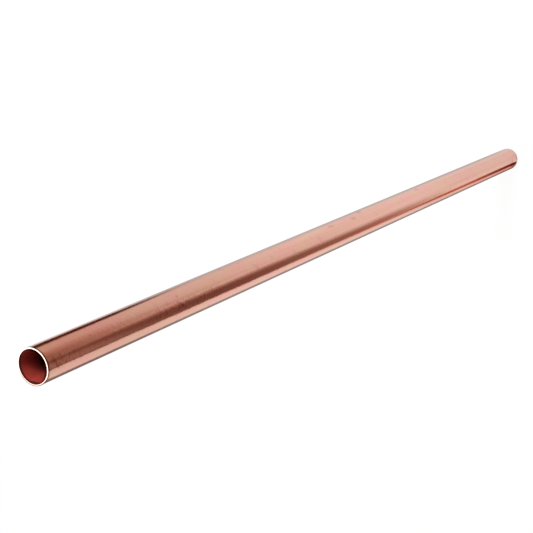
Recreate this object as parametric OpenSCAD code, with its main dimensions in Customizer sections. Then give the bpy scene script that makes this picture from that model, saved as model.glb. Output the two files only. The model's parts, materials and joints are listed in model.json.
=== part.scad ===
// Straight length of hard-drawn copper plumbing tube, cut square and deburred at both ends.
// It stands on one cut end, with its axis on Z and the origin in the middle of that end, on the floor.

/* [Tube] */
// Outside diameter of the tube
outside_d = 15; // [6:0.5:54]
// Thickness of the drawn wall
wall = 0.7; // [0.6:0.1:2]
// Length that the tube is cut to
cut_length = 500; // [100:10:3000]

/* [Cut ends] */
// Bevel that the reamer leaves on the edge of the bore
ream_bevel = 0.1; // [0.05:0.05:0.25]
// Radius that the cutter leaves on the outer edge
edge_round = 0.1; // [0.05:0.05:0.25]

/* [Hidden] */
outer_r = outside_d / 2;
bore_r = outer_r - wall;
// How far a cutting shape runs past the surface that it trims
overrun = 1;
// Facets of the round faces in a preview
$fn = 96;

// Waste inside the reamed edge of the bore at a cut end, in the half-section.
// There x is the radius, and y is the distance out of the tube from the cut.
module ream_waste() {
    reach = ream_bevel + overrun;
    polygon([[bore_r - overrun, -reach], [bore_r + reach, overrun], [bore_r - overrun, overrun]]);
}

// Waste outside the rounded outer edge at a cut end, in the same half-section
module edge_waste() {
    translate([outer_r - edge_round, -edge_round])
        difference() {
            square(edge_round + overrun);
            circle(edge_round);
        }
}

// Both wastes of one deburred end
module deburring() {
    ream_waste();
    edge_waste();
}

// Half-section of the wall: a plain strip from the floor up, deburred alike at both of its ends
module wall_section() {
    difference() {
        translate([bore_r, 0]) square([wall, cut_length]);
        mirror([0, 1]) deburring();
        translate([0, cut_length]) deburring();
    }
}

// The tube, turned from the section of its wall
module copper_tube() {
    color([0.85, 0.52, 0.42]) rotate_extrude() wall_section();
}

copper_tube();
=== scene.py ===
"""A straight length of hard-drawn copper tube, standing on one cut end in a plain white studio.

The tube is turned from the section of its wall by a Geometry Nodes tree. Each of its surfaces has
a finish of its own: the drawn outside, the dull bore, and the fresh cut at both ends.
"""

import json
import math
from collections import namedtuple

import bpy
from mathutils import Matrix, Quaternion, Vector


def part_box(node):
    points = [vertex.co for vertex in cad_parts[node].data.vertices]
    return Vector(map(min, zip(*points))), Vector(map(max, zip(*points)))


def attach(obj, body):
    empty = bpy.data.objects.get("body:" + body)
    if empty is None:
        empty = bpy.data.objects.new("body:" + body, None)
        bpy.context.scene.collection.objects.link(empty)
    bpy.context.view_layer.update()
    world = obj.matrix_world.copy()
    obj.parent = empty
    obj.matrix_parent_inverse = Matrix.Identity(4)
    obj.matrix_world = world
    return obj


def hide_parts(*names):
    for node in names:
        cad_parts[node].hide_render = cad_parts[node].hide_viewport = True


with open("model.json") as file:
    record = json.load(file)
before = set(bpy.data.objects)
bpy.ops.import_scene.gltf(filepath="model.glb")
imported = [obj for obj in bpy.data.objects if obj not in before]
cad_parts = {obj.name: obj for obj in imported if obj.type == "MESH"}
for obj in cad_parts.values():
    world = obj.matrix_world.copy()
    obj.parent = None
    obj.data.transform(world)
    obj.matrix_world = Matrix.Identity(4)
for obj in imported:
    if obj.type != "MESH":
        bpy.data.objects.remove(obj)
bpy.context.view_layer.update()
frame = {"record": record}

# Sizes of the tube, in metres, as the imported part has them
MM = 0.001
TUBE_NODE = "copper_tube"
foot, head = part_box(TUBE_NODE)
mounts = {mount["name"]: mount for mount in frame["record"]["mounts"]}
OUTER_R = head.x
BORE_R = mounts["bore"]["dims"]["r_mm"] * MM
LENGTH = head.z - foot.z

# Turns, in degrees
FULL_TURN = 360
QUARTER_TURN = 90

# Deburred ends, and how finely the tube is turned
EDGE_ROUND = 0.1 * MM
REAM_BEVEL = 0.1 * MM
FACETS_ROUND = 160
RINGS_ALONG = 60
ROUND_STEPS = 5
SHARP_ANGLE = math.radians(30)
CUT_FACING = 0.35

# Colours of the metal, as linear red, green and blue
DRAWN_PINK = (0.87, 0.43, 0.37, 1)
DRAWN_TAN = (0.84, 0.46, 0.355, 1)
TARNISH = (0.45, 0.17, 0.1, 1)
# Oxide for the specks, also used for painted shade at each end and on the reamed edge
OXIDE_AND_SHADE = (0.12, 0.05, 0.03, 1)
FRESH_CUT = (0.93, 0.66, 0.56, 1)
EDGE_GREY = (0.05, 0.05, 0.047, 1)
BORE_RED = (0.5, 0.06, 0.042, 1)
BORE_MAROON = (0.36, 0.035, 0.024, 1)
BORE_DEEP = (0.08, 0.01, 0.008, 1)
BORE_SHADE = (0.04, 0.01, 0.008, 1)

# Colours of the studio. The paper is greyer where the camera sees it, because it glows there.
WHITE = (1, 1, 1, 1)
BLACK = (0, 0, 0, 1)
PAPER = (0.96, 0.96, 0.96, 1)
PAPER_SEEN = (0.15, 0.15, 0.15, 1)


def lay_stops(elements, stops):
    """Gives a colour ramp its stops, which are pairs of a place and a colour."""
    while len(elements) < len(stops):
        elements.new(1.0)
    for element, (place, colour) in zip(elements, stops):
        element.position = place
        element.color = colour


class Socket:
    """An output of a node. An expression on sockets and numbers adds its Math nodes."""

    def __init__(self, graph, source):
        self.graph = graph
        self.source = source

    def __getitem__(self, output):
        return Socket(self.graph, self.source.node.outputs[output])

    def maths(self, operation, first, second=0.0):
        sockets = {"Value": first, "Value_001": second}
        return self.graph.node("ShaderNodeMath", {"operation": operation}, sockets)

    def __add__(self, other):
        return self.maths("ADD", self, other)

    __radd__ = __add__

    def __sub__(self, other):
        return self.maths("SUBTRACT", self, other)

    def __rsub__(self, other):
        return self.maths("SUBTRACT", other, self)

    def __mul__(self, other):
        return self.maths("MULTIPLY", self, other)

    __rmul__ = __mul__

    def __truediv__(self, other):
        return self.maths("DIVIDE", self, other)

    def __neg__(self):
        return 0 - self

    def __gt__(self, other):
        return self.maths("GREATER_THAN", self, other)

    def __lt__(self, other):
        return self.maths("LESS_THAN", self, other)

    def __abs__(self):
        return self.maths("ABSOLUTE", self)

    def sine(self):
        return self.maths("SINE", self)

    def hypotenuse(self, other):
        """The length of a line that goes this far one way and the other's length across it."""
        return self.maths("SQRT", self * self + other * other)

    def degrees_from(self, x):
        """The heading of a point, where this is its y."""
        return self.maths("ARCTAN2", self, x) * math.degrees(1)

    def at_least(self, other):
        return self.maths("MAXIMUM", self, other)


class Graph:
    """A node tree, filled through node()."""

    def __init__(self, tree):
        self.tree = tree

    def node(self, kind, settings=None, sockets=None):
        """Adds a node, with its settings first and then its sockets' values or links."""
        made = self.tree.nodes.new(kind)
        for name, setting in (settings or {}).items():
            if name == "stops":
                lay_stops(made.color_ramp.elements, setting)
            else:
                setattr(made, name, setting)
        inputs = {socket.identifier: socket for socket in made.inputs}
        for name, value in (sockets or {}).items():
            if isinstance(value, Socket):
                self.tree.links.new(value.source, inputs[name])
            else:
                inputs[name].default_value = value
        shown = [output for output in made.outputs if output.enabled]
        return Socket(self, shown[0]) if shown else None

    def xyz(self, vector):
        return self.node("ShaderNodeSeparateXYZ", {}, {"Vector": vector})

    def seen(self):
        """1 for what the camera sees, also mirrored or through glass, and 0 for plain light."""
        ray = self.node("ShaderNodeLightPath")
        return ray["Is Camera Ray"].at_least(ray["Is Glossy Ray"]).at_least(ray["Is Transmission Ray"])


# A pattern of noise: the size of its patches across the tube and along it, and how it is laid
Pattern = namedtuple("Pattern", "across along tilt shift detail grain", defaults=(0.0, 0.0, 2.0, 0.5))


class Finish(Graph):
    """The node tree of a material, with the patterns that the finishes share."""

    def __init__(self, name):
        self.material = bpy.data.materials.new(name)
        self.material.use_nodes = True
        super().__init__(self.material.node_tree)
        self.tree.nodes.clear()
        self.place = self.node("ShaderNodeTexCoord")["Object"]

    def from_end(self):
        """How far a place is from the nearer end of the tube."""
        return LENGTH / 2 - abs(self.xyz(self.place)["Z"] - LENGTH / 2)

    def from_axis(self):
        """How far a place is from the tube's axis."""
        spot = self.xyz(self.place)
        return spot["X"].hypotenuse(spot["Y"])

    def towards(self, heading):
        """How far a place is from the tube's axis in one heading, in degrees."""
        spot = self.xyz(self.place)
        return spot["X"] * math.cos(math.radians(heading)) + spot["Y"] * math.sin(math.radians(heading))

    def stretched(self, across, along, tilt=0.0, shift=0.0):
        """The place in patches that are so wide across the tube and so long along it."""
        sockets = {"Vector": self.place, "Scale": (across, across, along),
                   "Rotation": (tilt, tilt, 0.0), "Location": (shift, shift, shift)}
        return self.node("ShaderNodeMapping", {"vector_type": "TEXTURE"}, sockets)

    def noise(self, pattern):
        """Noise from 0 to 1 in a pattern."""
        place = self.stretched(pattern.across, pattern.along, pattern.tilt, pattern.shift)
        sockets = {"Vector": place, "Scale": 1.0, "Detail": pattern.detail, "Roughness": pattern.grain}
        return self.node("ShaderNodeTexNoise", {}, sockets)

    def cells(self, size, shift):
        """The distance to the nearest of many scattered points, in sizes of a cell."""
        sockets = {"Vector": self.stretched(size, size, shift=shift), "Scale": 1.0}
        return self.node("ShaderNodeTexVoronoi", {}, sockets)["Distance"]

    def rise(self, value, start, end):
        """0 before start, 1 after end, and a smooth step between them."""
        sockets = {"Value": value, "From Min": start, "From Max": end}
        return self.node("ShaderNodeMapRange", {"interpolation_type": "SMOOTHSTEP"}, sockets)

    def follow(self, value, points):
        """A height that goes straight from point to point, which are pairs of a value and a height."""
        height = points[0][1]
        for (start, low), (end, high) in zip(points, points[1:]):
            sockets = {"Value": value, "From Min": start, "From Max": end, "To Max": high - low}
            height = height + self.node("ShaderNodeMapRange", {"interpolation_type": "LINEAR"}, sockets)
        return height

    def blend(self, factor, first, second, kind="MIX"):
        sockets = {"Factor_Float": factor, "A_Color": first, "B_Color": second}
        return self.node("ShaderNodeMix", {"data_type": "RGBA", "blend_type": kind}, sockets)

    def relief(self, height, depth):
        """A normal that follows a height from 0 to 1, which is so deep."""
        return self.node("ShaderNodeBump", {}, {"Height": height, "Distance": depth, "Strength": 1.0})

    def surface(self, shader):
        self.node("ShaderNodeOutputMaterial", {}, {"Surface": shader})
        return self.material

    def metal(self, colour, roughness, normal, metallic=1.0):
        sockets = {"Base Color": colour, "Metallic": metallic, "Roughness": roughness, "Normal": normal}
        return self.surface(self.node("ShaderNodeBsdfPrincipled", {}, sockets))


# Marks of handling: height and heading on the tube, length along it and width round it, and strength
Mark = namedtuple("Mark", "height heading length width strength")
MARKS = [
    Mark(496 * MM, -69, 1.6 * MM, 2.2 * MM, 0.5),
    Mark(494 * MM, -88, 2.2 * MM, 1.4 * MM, 0.45),
    Mark(414 * MM, -76, 1.0 * MM, 1.2 * MM, 0.5),
    Mark(415 * MM, -39, 0.9 * MM, 0.7 * MM, 0.45),
    Mark(273 * MM, -22, 5.0 * MM, 1.6 * MM, 0.3),
    Mark(249 * MM, -30, 3.2 * MM, 1.6 * MM, 0.4),
    Mark(238 * MM, -10, 2.6 * MM, 1.6 * MM, 0.5),
    Mark(164 * MM, -16, 4.0 * MM, 2.0 * MM, 0.3),
]
MARK_STEP = (1.0, 0.3)


def handling_marks(finish):
    """How far each place is darkened by a mark."""
    shade = 0.0
    for mark in MARKS:
        facing = finish.towards(mark.heading) > 0
        round_it = finish.towards(mark.heading + QUARTER_TURN) / mark.width
        along_it = (finish.xyz(finish.place)["Z"] - mark.height) / mark.length
        span = round_it.hypotenuse(along_it)
        shade = shade + finish.rise(span, *MARK_STEP) * facing * mark.strength
    return shade


# Drawn outside: the die leaves lines and streaks along the tube, and slight waves and ripples
DIE_LINES = Pattern(0.4 * MM, 140 * MM, detail=3.0)
DIE_STREAKS = Pattern(2.2 * MM, 170 * MM, shift=0.4)
DIE_WAVES = Pattern(5 * MM, 24 * MM, shift=0.7, detail=1.0)
DIE_RIPPLES = Pattern(1.6 * MM, 2.4 * MM, shift=3.1)

# Handling leaves clouds of tint, smudges across the tube, specks and short scratches, and there are
# mottles
CLOUDS = Pattern(7 * MM, 12 * MM, shift=0.9, detail=3.0)
SMUDGES = Pattern(5 * MM, 2.2 * MM, tilt=0.5, shift=1.3, detail=4.0, grain=0.6)
SCRATCHES = Pattern(0.22 * MM, 9 * MM, tilt=0.3, shift=2.1, detail=1.0)
MOTTLES = Pattern(1.8 * MM, 0.8 * MM, shift=2.6, detail=3.0)
SPECK_CELL = 8 * MM
SPECK_SHIFT = 1.7

# Where in its pattern each of them starts to show and where it is full
CLOUD_STEP = (0.36, 0.64)
STREAK_STEP = (0.48, 0.75)
SMUDGE_STEP = (0.55, 0.8)
SCRATCH_STEP = (0.7, 0.8)
SPECK_STEP = (0.055, 0.03)
MOTTLE_STEP = (0.5, 0.66)

# Where the mottles are on one side of both ends, a patch of painted shade in ripples, and the dark line
# of painted shade at each end
MOTTLED_END = (24 * MM, 4 * MM)
MOTTLED_HEADING = -76
MOTTLED_SIDE = (0.87 * OUTER_R, 0.98 * OUTER_R)
RIPPLE_SHADE_AT = 412 * MM
RIPPLE_SHADE_LONG = (36 * MM, 12 * MM)
RIPPLE_SHADE_HEADING = -70
RIPPLE_SHADE_SIDE = (0.93 * OUTER_R, 0.985 * OUTER_R)
END_LINE = (1.0 * MM, 0.55 * MM)

# How strongly each of them tints the metal
LINE_TINT = 0.1
STREAK_TINT = 0.16
SMUDGE_TINT = 0.3
SPECK_TINT = 0.35
SCRATCH_TINT = 0.3
MOTTLE_TINT = 0.8
RIPPLE_SHADE_TINT = 0.6
END_TINT = 0.85

# How rough the metal is, what roughens it, and how far the relief of the die stands out
DRAWN_ROUGH = 0.12
STREAK_ROUGH = 0.06
SMUDGE_ROUGH = 0.1
SCRATCH_ROUGH = 0.12
DIE_DEPTH = 0.05 * MM
LINE_RELIEF = 0.16
STREAK_RELIEF = 0.25
RIPPLE_RELIEF = 0.7
SCRATCH_RELIEF = 0.1


def drawn_copper():
    """The outside: bright metal with lines along it, and faint stains, specks and scratches, with
    painted shade in a rippled patch and at both ends.
    """
    finish = Finish("drawn_copper")
    lines = finish.noise(DIE_LINES)
    streaks = finish.noise(DIE_STREAKS)
    waves = finish.noise(DIE_WAVES) + RIPPLE_RELIEF * finish.noise(DIE_RIPPLES)
    clouds = finish.rise(finish.noise(CLOUDS), *CLOUD_STEP)
    smudges = finish.rise(finish.noise(SMUDGES), *SMUDGE_STEP)
    scratches = finish.rise(finish.noise(SCRATCHES), *SCRATCH_STEP)
    specks = finish.rise(finish.cells(SPECK_CELL, SPECK_SHIFT), *SPECK_STEP)
    by_ends = finish.rise(finish.from_end(), *MOTTLED_END)
    by_ends = by_ends * finish.rise(finish.towards(MOTTLED_HEADING), *MOTTLED_SIDE)
    # A patch of painted shade, in mottles, ripples the edge of the dark band that the tube reflects
    ripple_shade = finish.rise(abs(finish.xyz(finish.place)["Z"] - RIPPLE_SHADE_AT), *RIPPLE_SHADE_LONG)
    ripple_shade = ripple_shade * finish.rise(finish.towards(RIPPLE_SHADE_HEADING), *RIPPLE_SHADE_SIDE)
    darkened = (MOTTLE_TINT * by_ends).at_least(RIPPLE_SHADE_TINT * ripple_shade)
    mottles = finish.rise(finish.noise(MOTTLES), *MOTTLE_STEP) * darkened

    colour = finish.blend(clouds, DRAWN_PINK, DRAWN_TAN)
    drawn = STREAK_TINT * finish.rise(streaks, *STREAK_STEP) + LINE_TINT * lines
    colour = finish.blend(drawn, colour, TARNISH)
    handled = SMUDGE_TINT * smudges + mottles + handling_marks(finish)
    colour = finish.blend(handled, colour, TARNISH)
    colour = finish.blend(SPECK_TINT * specks, colour, OXIDE_AND_SHADE)
    colour = finish.blend(SCRATCH_TINT * scratches, colour, FRESH_CUT)
    # The dark line at each end is painted shade
    colour = finish.blend(END_TINT * finish.rise(finish.from_end(), *END_LINE), colour, OXIDE_AND_SHADE)
    roughness = DRAWN_ROUGH + STREAK_ROUGH * streaks
    roughness = roughness + SMUDGE_ROUGH * smudges + SCRATCH_ROUGH * scratches
    height = LINE_RELIEF * lines + STREAK_RELIEF * streaks + waves - SCRATCH_RELIEF * scratches
    return finish.metal(colour, roughness, finish.relief(height, DIE_DEPTH))


# Bore: painted shade darkens it from one depth to another, and turns it black deeper in
BORE_LINES = Pattern(0.8 * MM, 90 * MM, detail=3.0)
BORE_CLOUDS = Pattern(4 * MM, 20 * MM, shift=0.4, detail=3.0)
BORE_CLOUD_STEP = (0.3, 0.8)
BORE_DARKENS = (3 * MM, 14 * MM)
BORE_DARK = 0.85
BORE_BLACKENS = (9 * MM, 12 * MM)
BORE_BLACK = 0.85
BORE_ROUGH = 0.5
BORE_LINE_ROUGH = 0.15
BORE_LINE_DEPTH = 0.01 * MM
BORE_METALLIC = 0.3

# Towards one side it is in shade below a slope, which goes so much deeper for each step that way
SHADE_HEADING = 118
SHADE_SLOPE = 1.94
SHADE_STEP = (-1.6 * MM, -0.8 * MM)
SHADE_SIDE = (0.0, 0.2 * BORE_R)

# The bore's lip is darkened by painted shade, which reaches deeper on one side
LIP_ENDS = (1.15 * MM, 0.75 * MM)
LIP_DARK = 0.9
LIP_GROWS = 1.6
LIP_HEADING = 203
LIP_SIDE = (0.6 * BORE_R, BORE_R)


def dull_bore():
    """The bore: red and dull, because the die doesn't polish it, and darkened inwards by painted shade.
    """
    finish = Finish("dull_bore")
    lines = finish.noise(BORE_LINES)
    clouds = finish.rise(finish.noise(BORE_CLOUDS), *BORE_CLOUD_STEP)
    colour = finish.blend(clouds, BORE_RED, BORE_MAROON)
    # Painted shade: darker with depth, a dark lip, black deep in, and shade below a slope
    colour = finish.blend(BORE_DARK * finish.rise(finish.from_end(), *BORE_DARKENS), colour, BORE_DEEP)
    deeper = 1 + LIP_GROWS * finish.rise(finish.towards(LIP_HEADING), *LIP_SIDE)
    lip = LIP_DARK * finish.rise(finish.from_end() / deeper, *LIP_ENDS)
    black = BORE_BLACK * finish.rise(finish.from_end(), *BORE_BLACKENS)
    across = finish.towards(SHADE_HEADING)
    shaded = finish.rise(finish.from_end() - SHADE_SLOPE * across, *SHADE_STEP)
    shaded = BORE_BLACK * shaded * finish.rise(across, *SHADE_SIDE)
    colour = finish.blend(lip.at_least(black).at_least(shaded), colour, BORE_SHADE)
    roughness = BORE_ROUGH + BORE_LINE_ROUGH * lines
    return finish.metal(colour, roughness, finish.relief(lines, BORE_LINE_DEPTH), BORE_METALLIC)


# Cut ends: the cutter's rings, a grey outer edge of painted shade, wider on one side, and a dark reamed
# edge of painted shade
CUT_GRAIN = Pattern(0.6 * MM, 0.6 * MM, detail=3.0)
CUT_RING = 0.12 * MM
CUT_DEPTH = 0.003 * MM
CUT_TINT = 0.3
CUT_ROUGH = 0.3
GRAIN_ROUGH = 0.1
EDGE_SHADE = (OUTER_R - 0.2 * MM, OUTER_R)
EDGE_SHADE_WIDE = (OUTER_R - 0.4 * MM, OUTER_R - 0.24 * MM)
EDGE_SHADE_HEADING = 180
EDGE_SHADE_SIDE = (0.1 * OUTER_R, 0.75 * OUTER_R)
REAMED_EDGE = 0.12 * MM


def fresh_cut():
    """The square cut: paler metal with the fine rings of the cutter."""
    finish = Finish("fresh_cut")
    radius = finish.from_axis()
    rings = (radius * (2 * math.pi / CUT_RING)).sine() / 2
    grain = finish.noise(CUT_GRAIN)
    colour = finish.blend(CUT_TINT * grain, FRESH_CUT, DRAWN_PINK)
    # Painted shade: the grey outer edge, wider on one side, and the dark reamed edge
    darkened = finish.rise(radius, *EDGE_SHADE_WIDE) * finish.rise(finish.towards(EDGE_SHADE_HEADING), *EDGE_SHADE_SIDE)
    colour = finish.blend(darkened.at_least(finish.rise(radius, *EDGE_SHADE)), colour, EDGE_GREY)
    reamed = BORE_R + REAM_BEVEL
    colour = finish.blend(finish.rise(radius, reamed + REAMED_EDGE, reamed), colour, OXIDE_AND_SHADE)
    roughness = CUT_ROUGH + GRAIN_ROUGH * grain
    return finish.metal(colour, roughness, finish.relief(rings + grain, CUT_DEPTH))


def turning_tree(skin, bore, cut):
    """A tree that turns the wall's section about the Z axis, and the identifiers of its inputs."""
    graph = Graph(bpy.data.node_groups.new("turned_tube", "GeometryNodeTree"))
    face = graph.tree.interface
    sizes = {"Outer radius": OUTER_R, "Bore radius": BORE_R, "Length": LENGTH,
             "Edge round": EDGE_ROUND, "Ream bevel": REAM_BEVEL}
    counts = {"Facets round": FACETS_ROUND, "Rings along": RINGS_ALONG, "Round steps": ROUND_STEPS}
    values = {}
    for name, value in sizes.items():
        values[face.new_socket(name, in_out="INPUT", socket_type="NodeSocketFloat").identifier] = value
    for name, value in counts.items():
        values[face.new_socket(name, in_out="INPUT", socket_type="NodeSocketInt").identifier] = value
    face.new_socket("Tube", in_out="OUTPUT", socket_type="NodeSocketGeometry")

    given = graph.node("NodeGroupInput")
    here = graph.node("GeometryNodeInputPosition")
    across = graph.xyz(here)["X"]
    along = graph.xyz(here)["Y"]
    half = given["Length"] / 2
    middle_r = (given["Outer radius"] + given["Bore radius"]) / 2

    # The wall's section, with a round edge outside and a reamed bevel inside
    wall = given["Outer radius"] - given["Bore radius"]
    section = graph.node("GeometryNodeCurvePrimitiveQuadrilateral", {"mode": "RECTANGLE"},
                         {"Width": wall, "Height": given["Length"]})
    outside = across > 0
    trim = given["Ream bevel"] + outside * (given["Edge round"] - given["Ream bevel"])
    steps = 1 + outside * (given["Round steps"] - 1)
    section = graph.node("GeometryNodeFilletCurve", {"mode": "POLY"},
                         {"Curve": section, "Count": steps, "Radius": trim, "Limit Radius": True})

    # Rings along both walls, closer together towards the ends
    following = graph.node("GeometryNodeOffsetPointInCurve", {}, {"Offset": 1})["Point Index"]
    next_place = graph.node("GeometryNodeFieldAtIndex", {"data_type": "FLOAT_VECTOR"},
                            {"Value": here, "Index": following})
    stride = graph.node("ShaderNodeVectorMath", {"operation": "DISTANCE"},
                        {"Vector": here, "Vector_001": next_place})
    section = graph.node("GeometryNodeSubdivideCurve", {},
                         {"Curve": section, "Cuts": given["Rings along"] * (stride > half)})
    straight = half - given["Edge round"].at_least(given["Ream bevel"])
    crowded = straight * (along / straight * (math.pi / 2)).sine()
    moved = graph.node("ShaderNodeCombineXYZ", {}, {"X": across, "Y": crowded})
    section = graph.node("GeometryNodeSetPosition", {},
                         {"Geometry": section, "Selection": abs(along) < straight, "Position": moved})

    # The section swept round the axis, and stood on the floor
    rail = graph.node("GeometryNodeCurvePrimitiveCircle", {"mode": "RADIUS"},
                      {"Resolution": given["Facets round"], "Radius": middle_r})
    rail = graph.node("GeometryNodeSetCurveNormal", {"mode": "Z_UP"}, {"Curve": rail})
    tube = graph.node("GeometryNodeCurveToMesh", {}, {"Curve": rail, "Profile Curve": section})
    lift = graph.node("ShaderNodeCombineXYZ", {}, {"Z": half})
    tube = graph.node("GeometryNodeTransform", {}, {"Geometry": tube, "Translation": lift})

    # Smooth walls, with a crisp edge at each bevel
    bend = graph.node("GeometryNodeInputMeshEdgeAngle")["Unsigned Angle"]
    tube = graph.node("GeometryNodeSetShadeSmooth", {"domain": "FACE"},
                      {"Geometry": tube, "Shade Smooth": True})
    tube = graph.node("GeometryNodeSetShadeSmooth", {"domain": "EDGE"},
                      {"Geometry": tube, "Selection": bend > SHARP_ANGLE, "Shade Smooth": False})

    # A finish for each surface: the reamed bevel has the bore's
    spot = graph.xyz(here)
    radius = spot["X"].hypotenuse(spot["Y"])
    facing = graph.xyz(graph.node("GeometryNodeInputNormal"))["Z"]
    reamed = radius < given["Bore radius"] + given["Ream bevel"]
    tube = graph.node("GeometryNodeRealizeInstances", {}, {"Geometry": tube})
    for material, where in ((skin, True), (cut, abs(facing) > CUT_FACING), (bore, reamed)):
        tube = graph.node("GeometryNodeSetMaterial", {},
                          {"Geometry": tube, "Selection": where, "Material": material})
    graph.node("NodeGroupOutput", {}, {graph.tree.interface.items_tree["Tube"].identifier: tube})
    return graph.tree, values


def turned_tube():
    """The tube as one plain mesh."""
    tree, values = turning_tree(drawn_copper(), dull_bore(), fresh_cut())
    tube = bpy.data.objects.new("drawn_tube", bpy.data.meshes.new("drawn_tube"))
    bpy.context.scene.collection.objects.link(tube)
    turning = tube.modifiers.new("turning", "NODES")
    turning.node_group = tree
    for identifier, value in values.items():
        turning[identifier] = value
    evaluated = tube.evaluated_get(bpy.context.evaluated_depsgraph_get())
    mesh = bpy.data.meshes.new_from_object(evaluated)
    tube.modifiers.remove(turning)
    tube.data = mesh
    return tube


tube = turned_tube()
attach(tube, "root")
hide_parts(TUBE_NODE)

# Studio: a white world, and a white floor that glows a little more from one distance to another
WORLD_LEVEL = 0.42
FLOOR_HALF = 40.0
FLOOR_GLOW = 0.892
FAR_GLOW = 0.047
GLOW_GROWS = (0.5, 4.0)

# Two square soft lamps: how far out from the upper end, how wide and how bright, and where the key is
RIM_OUT = 1.3
RIM_SIDE = 1.0
RIM_RADIANCE = 2.2
KEY_OUT = 0.4
KEY_SIDE = 0.15
KEY_RADIANCE = 29.0
KEY_HEADING = math.radians(0)
KEY_RISE = math.radians(45)


def white_floor():
    """Paper that glows where the camera sees it, so that it is white and its shadow pale."""
    finish = Finish("white_paper")
    seen = finish.seen()
    level = FLOOR_GLOW + FAR_GLOW * finish.rise(finish.from_axis(), *GLOW_GROWS)
    paper = finish.node("ShaderNodeBsdfDiffuse", {}, {"Color": finish.blend(seen, PAPER, PAPER_SEEN)})
    glow = finish.blend(level * seen, BLACK, WHITE)
    glow = finish.node("ShaderNodeEmission", {}, {"Color": glow, "Strength": 1.0})
    shown = finish.node("ShaderNodeAddShader", {}, {"Shader": paper, "Shader_001": glow})
    mesh = bpy.data.meshes.new("floor")
    low, high = -FLOOR_HALF, FLOOR_HALF
    corners = [(low, low, 0), (high, low, 0), (high, high, 0), (low, high, 0)]
    mesh.from_pydata(corners, [], [(0, 1, 2, 3)])
    mesh.materials.append(finish.surface(shown))
    floor = bpy.data.objects.new("floor", mesh)
    bpy.context.scene.collection.objects.link(floor)


def white_world():
    """White to the camera and in reflections, and a plain level of light for the rest."""
    world = bpy.data.worlds.new("white_studio")
    bpy.context.scene.world = world
    world.use_nodes = True
    world.node_tree.nodes.clear()
    graph = Graph(world.node_tree)
    light = graph.node("ShaderNodeBackground", {}, {"Color": WHITE, "Strength": WORLD_LEVEL})
    backdrop = graph.node("ShaderNodeBackground", {}, {"Color": WHITE, "Strength": 1.0})
    shown = graph.node("ShaderNodeMixShader", {},
                       {"Fac": graph.seen(), "Shader": light, "Shader_001": backdrop})
    graph.node("ShaderNodeOutputWorld", {}, {"Surface": shown})


# What the tube mirrors of the room: a glowing bowl round its foot, seen only in its reflections, whose
# tones are painted reflections
BOWL_RADIUS = 2.5
BOWL_HEIGHT = 2.5
BOWL_LIFT = 1 * MM
BOWL_SIDES = 64
BOWL_MIDDLE = (-1.2 * MM, -7.4 * MM)

# Its tones, from the palest to the darkest, and its other colours
ROOM_TONES = [
    (0.0, (0.95, 1.0, 0.98, 1)),
    (0.35, (0.7, 0.69, 0.64, 1)),
    (0.56, (0.51, 0.355, 0.3, 1)),
    (0.68, (0.405, 0.265, 0.218, 1)),
    (0.79, (0.3, 0.195, 0.153, 1)),
    (0.87, (0.22, 0.118, 0.088, 1)),
    (1.0, (0.08, 0.03, 0.02, 1)),
]
ROOM_GREY = (0.29, 0.35, 0.372, 1)
ROOM_DUSK = (0.19, 0.155, 0.14, 1)
ROOM_WARM = (0.95, 0.62, 0.54, 1)
FRINGE_RED = (0.9, 0.45, 0.32, 1)
CORNER_BLACK = (0.05, 0.006, 0.002, 1)
SHADOW_RED = (0.46, 0.13, 0.07, 1)
FOOT_RED = (0.13, 0.01, 0.002, 1)

# Its places. A reach is metres out from the foot, and a heading is degrees round it, from the right.
# A pair is where a tone starts and where it is full, and a list gives a value at each reach.

# The dark front has a crisp edge on its left, which is warm, and a soft one on its right.
# Its left part is paler far out, but not right at the edge.
FRONT_LEFT = [(0.07, -113), (0.13, -132), (0.25, -132), (0.36, -127.5), (0.45, -124.8)]
FRONT_CRISP = 1.5
FRONT_RIGHT = [(0.08, -86), (0.16, -85), (0.22, -71), (0.35, -60), (0.45, -56), (0.48, -59)]
FRONT_SOFT = [(0.1, 26), (0.36, 24), (0.42, 19)]
FRONT_DARK = [(0.05, 0.0), (0.085, 0.46), (0.14, 0.76), (0.28, 0.9), (0.45, 0.9), (0.48, 0.87)]
FRONT_PALER = [(0.28, 0.0), (0.33, 0.065), (0.385, 0.1), (0.42, 0.1), (0.46, 0.21)]
FRONT_PALER_FROM = [(0.38, -102), (0.45, -76)]
FRONT_PALER_SOFT = 20
FRONT_PALER_IN = (2, 14)
EDGE_IN = 4
EDGE_SPREAD = (10, 3)
EDGE_WARM = [(0.1, 0.1), (0.2, 0.5), (0.26, 0.5), (0.31, 0.2), (0.36, 0.1)]

# A red shadow with a red fringe runs from the foot towards the left edge of the front
SHADOW_MIDDLE = [(0.0, -156), (0.007, -143.5), (0.08, -134)]
SHADOW_SPREAD = [(0.0, 50), (0.007, 18.5), (0.05, 10), (0.09, 9.5), (0.15, 5)]
SHADOW_SOFT = 3
SHADOW_DARK = [(0.08, 0.97), (0.24, 0.0)]
SHADOW_FOOT = (0.045, 0.008)
FRINGE_SPREAD = (13, 1)
FRINGE_WARM = [(0.012, 0.95), (0.022, 0.65), (0.055, 0.7), (0.08, 0.5)]

# The far side of the floor darkens as it goes out, and less so on its right
FAR_DARK = [(0.05, 0.0), (0.15, 0.04), (0.2, 0.04), (0.47, 0.738), (0.6, 0.738), (0.95, 0.0)]
FAR_LEFT = (-128, -112)
FAR_RIGHT = (80, 45)
FAR_PALER = [(0.15, 0.0), (0.4, 0.48)]
FAR_PALER_FROM = [(0.42, -70), (0.46, -52)]
FAR_PALER_FULL = 10

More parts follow.
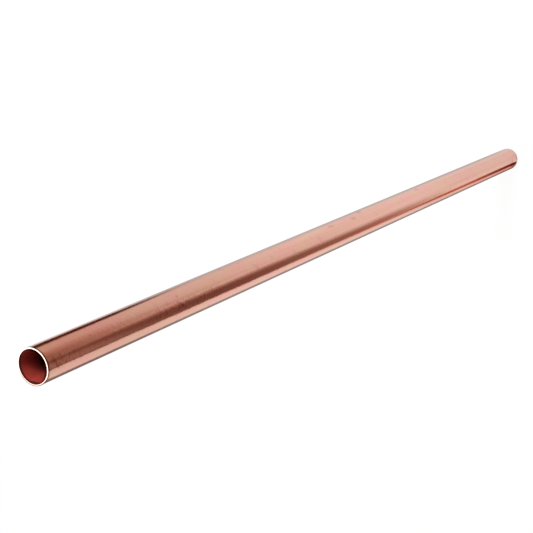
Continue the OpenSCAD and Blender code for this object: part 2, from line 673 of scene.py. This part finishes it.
# There is a black corner with a red fringe on the right, and a pale shade by the foot and on the left
CORNER_HEADING = 55
CORNER_SPREAD = [(0.4, 12.5), (0.46, 15.5)]
CORNER_SOFT = 4.5
CORNER_REACH = (0.315, 0.405)
CORNER_FRINGE = (10, 2)
CORNER_WARM = [(0.36, 0.0), (0.42, 0.4), (0.46, 0.55)]
FOOT_DARK = [(0.02, 0.12), (0.1, 0.0)]
FOOT_SIDE = (-115, -80)
LEFT_DARK = [(0.28, 0.0), (0.45, 0.13)]
LEFT_SIDE = (125, 140)

# Behind is a grey wall, with dusk on its left, and by the foot a warm patch
GREY_START = [(0.02, 24), (0.3, 33)]
GREY_SOFT = 54
GREY_END = (178, 165)
GREY_DARK = [(0.05, 0.67), (0.15, 0.62), (0.33, 0.62), (0.42, 0.32)]
DUSK_START = (124, 146)
DUSK_END = (183, 170)
DUSK_DARK = [(0.3, 0.65), (0.42, 0.94)]
WARM_FOOT = [(0.012, 1.0), (0.02, 0.65), (0.038, 0.45), (0.055, 0.35), (0.085, 0.0)]
WARM_SIDE = (115, 135)

# The far floor is a little warm too, on either side of a heading
TINGE_HEADING = -15
TINGE_SPREAD = (85, 62)
TINGE_WARM = [(0.38, 0.0), (0.46, 0.34)]


def room_darkness(finish, reach, heading, inside):
    """How dark each place is, where inside is how far it is from the left edge of the front."""
    soft = finish.follow(reach, FRONT_SOFT)
    paler = finish.rise(heading - finish.follow(reach, FRONT_PALER_FROM), 0, -FRONT_PALER_SOFT)
    paler = paler * finish.rise(inside, *FRONT_PALER_IN)
    front = finish.rise(inside, -FRONT_CRISP, FRONT_CRISP)
    front = front * finish.rise(heading - finish.follow(reach, FRONT_RIGHT), soft, -soft)
    front = front * (1 - finish.follow(reach, FRONT_PALER) * paler) * finish.follow(reach, FRONT_DARK)

    paler = finish.rise(heading, finish.follow(reach, FAR_PALER_FROM), FAR_PALER_FULL)
    far = finish.rise(heading, *FAR_LEFT) * finish.rise(heading, *FAR_RIGHT)
    far = far * (1 - finish.follow(reach, FAR_PALER) * paler) * finish.follow(reach, FAR_DARK)
    left = finish.rise(abs(heading), *LEFT_SIDE) * finish.follow(reach, LEFT_DARK)
    near = finish.rise(heading, *FOOT_SIDE) * finish.follow(reach, FOOT_DARK)
    return front.at_least(far).at_least(left).at_least(near)


def room_tones():
    """A glow with the tones of the room, which paints the tube's reflections."""
    finish = Finish("room_tones")
    spot = finish.xyz(finish.place)
    x = spot["X"] - BOWL_MIDDLE[0]
    y = spot["Y"] - BOWL_MIDDLE[1]
    reach = x.hypotenuse(y)
    heading = y.degrees_from(x)
    behind = heading + FULL_TURN * (heading < 0)
    inside = heading - finish.follow(reach, FRONT_LEFT)
    dark = room_darkness(finish, reach, heading, inside)
    tone = finish.node("ShaderNodeValToRGB", {"stops": ROOM_TONES}, {"Fac": dark})

    # The warm far floor, and the warm edge of the front
    tinge = finish.rise(abs(heading - TINGE_HEADING), *TINGE_SPREAD) * finish.follow(reach, TINGE_WARM)
    edge = finish.rise(abs(inside - EDGE_IN), *EDGE_SPREAD) * finish.follow(reach, EDGE_WARM)
    tone = finish.blend(tinge + edge, tone, ROOM_WARM, kind="MULTIPLY")

    # The red shadow and its fringe
    beside = abs(heading - finish.follow(reach, SHADOW_MIDDLE)) - finish.follow(reach, SHADOW_SPREAD)
    fading = finish.follow(reach, SHADOW_DARK)
    fringe = finish.rise(beside, *FRINGE_SPREAD) * finish.follow(reach, FRINGE_WARM) * fading
    tone = finish.blend(fringe, tone, FRINGE_RED, kind="MULTIPLY")
    shadow = finish.rise(beside, SHADOW_SOFT, -SHADOW_SOFT) * fading
    red = finish.blend(finish.rise(reach, *SHADOW_FOOT), SHADOW_RED, FOOT_RED)
    tone = finish.blend(shadow, tone, red)

    # The grey wall, and the black corner in front of it with its fringe
    grey = finish.rise(heading - finish.follow(reach, GREY_START), 0, GREY_SOFT)
    grey = grey * finish.rise(heading, *GREY_END) * finish.follow(reach, GREY_DARK)
    tone = finish.blend(grey, tone, ROOM_GREY)
    aside = abs(heading - CORNER_HEADING) - finish.follow(reach, CORNER_SPREAD)
    blush = finish.rise(aside, *CORNER_FRINGE) * finish.follow(reach, CORNER_WARM)
    tone = finish.blend(blush, tone, FRINGE_RED, kind="MULTIPLY")
    corner = finish.rise(aside, CORNER_SOFT, -CORNER_SOFT) * finish.rise(reach, *CORNER_REACH)
    tone = finish.blend(corner, tone, CORNER_BLACK)

    # Dusk on the left, and the warm patch by the foot
    dusk = finish.rise(behind, *DUSK_START) * finish.rise(behind, *DUSK_END)
    tone = finish.blend(dusk * finish.follow(reach, DUSK_DARK), tone, ROOM_DUSK)
    warm = finish.rise(abs(heading), *WARM_SIDE) * finish.follow(reach, WARM_FOOT)
    tone = finish.blend(warm, tone, ROOM_WARM, kind="MULTIPLY")
    return finish.surface(finish.node("ShaderNodeEmission", {}, {"Color": tone, "Strength": 1.0}))


def mirrored_room():
    """The bowl, with its rim up and its faces inwards."""
    turns = [2 * math.pi * side / BOWL_SIDES for side in range(BOWL_SIDES)]
    ring = [(BOWL_RADIUS * math.cos(turn), BOWL_RADIUS * math.sin(turn)) for turn in turns]
    points = [(x, y, BOWL_LIFT) for x, y in ring] + [(x, y, BOWL_HEIGHT) for x, y in ring]
    faces = [tuple(range(BOWL_SIDES))]
    for side in range(BOWL_SIDES):
        after = (side + 1) % BOWL_SIDES
        faces.append((after, side, side + BOWL_SIDES, after + BOWL_SIDES))
    mesh = bpy.data.meshes.new("mirrored_room")
    mesh.from_pydata(points, [], faces)
    mesh.materials.append(room_tones())
    room = bpy.data.objects.new("mirrored_room", mesh)
    bpy.context.scene.collection.objects.link(room)
    room.visible_camera = False
    room.visible_diffuse = False
    room.visible_shadow = False
    room.visible_transmission = False


# Camera: above the tube and beside it, rolled so that the tube lies across the picture
CAMERA_TURN = math.radians(27.82)
CAMERA_OUT = 0.3239
CAMERA_HEIGHT = 0.8074
CAMERA_AIM = Vector((-0.0008, -0.0004, 0.3342))
CAMERA_ROLL = math.radians(-113.77)
CAMERA_LENS = 80.12
CAMERA_CLIP = 0.01


def place_camera():
    """The view of the photo."""
    lens = bpy.data.cameras.new("camera")
    lens.lens = CAMERA_LENS
    lens.clip_start = CAMERA_CLIP
    camera = bpy.data.objects.new("camera", lens)
    bpy.context.scene.collection.objects.link(camera)
    beside = Vector((math.sin(CAMERA_TURN), -math.cos(CAMERA_TURN), 0))
    camera.location = CAMERA_OUT * beside + Vector((0, 0, CAMERA_HEIGHT))
    camera.rotation_mode = "QUATERNION"
    looking = (CAMERA_AIM - camera.location).to_track_quat("-Z", "Y")
    camera.rotation_quaternion = looking @ Quaternion((0, 0, 1), CAMERA_ROLL)
    bpy.context.scene.camera = camera
    return camera


def place_softbox(name, direction, out, side, radiance):
    """A square soft lamp in a direction from the upper end, facing it."""
    lamp = bpy.data.lights.new(name, "AREA")
    lamp.size = side
    lamp.energy = radiance * math.pi * side ** 2
    softbox = bpy.data.objects.new(name, lamp)
    bpy.context.scene.collection.objects.link(softbox)
    softbox.location = Vector((0, 0, LENGTH)) + out * direction
    softbox.rotation_mode = "QUATERNION"
    softbox.rotation_quaternion = (-direction).to_track_quat("-Z", "Y")
    softbox.visible_camera = False


def light_ends(camera):
    """One lamp where the upper cut mirrors it to the camera, and one that shines into the bore."""
    seen = (Vector((0, 0, LENGTH)) - camera.location).normalized()
    place_softbox("rim_light", Vector((seen.x, seen.y, -seen.z)), RIM_OUT, RIM_SIDE, RIM_RADIANCE)
    level = math.cos(KEY_RISE)
    key = Vector((level * math.cos(KEY_HEADING), level * math.sin(KEY_HEADING), math.sin(KEY_RISE)))
    place_softbox("key_light", key, KEY_OUT, KEY_SIDE, KEY_RADIANCE)


white_floor()
white_world()
mirrored_room()
light_ends(place_camera())
bpy.context.scene.view_settings.view_transform = "Standard"
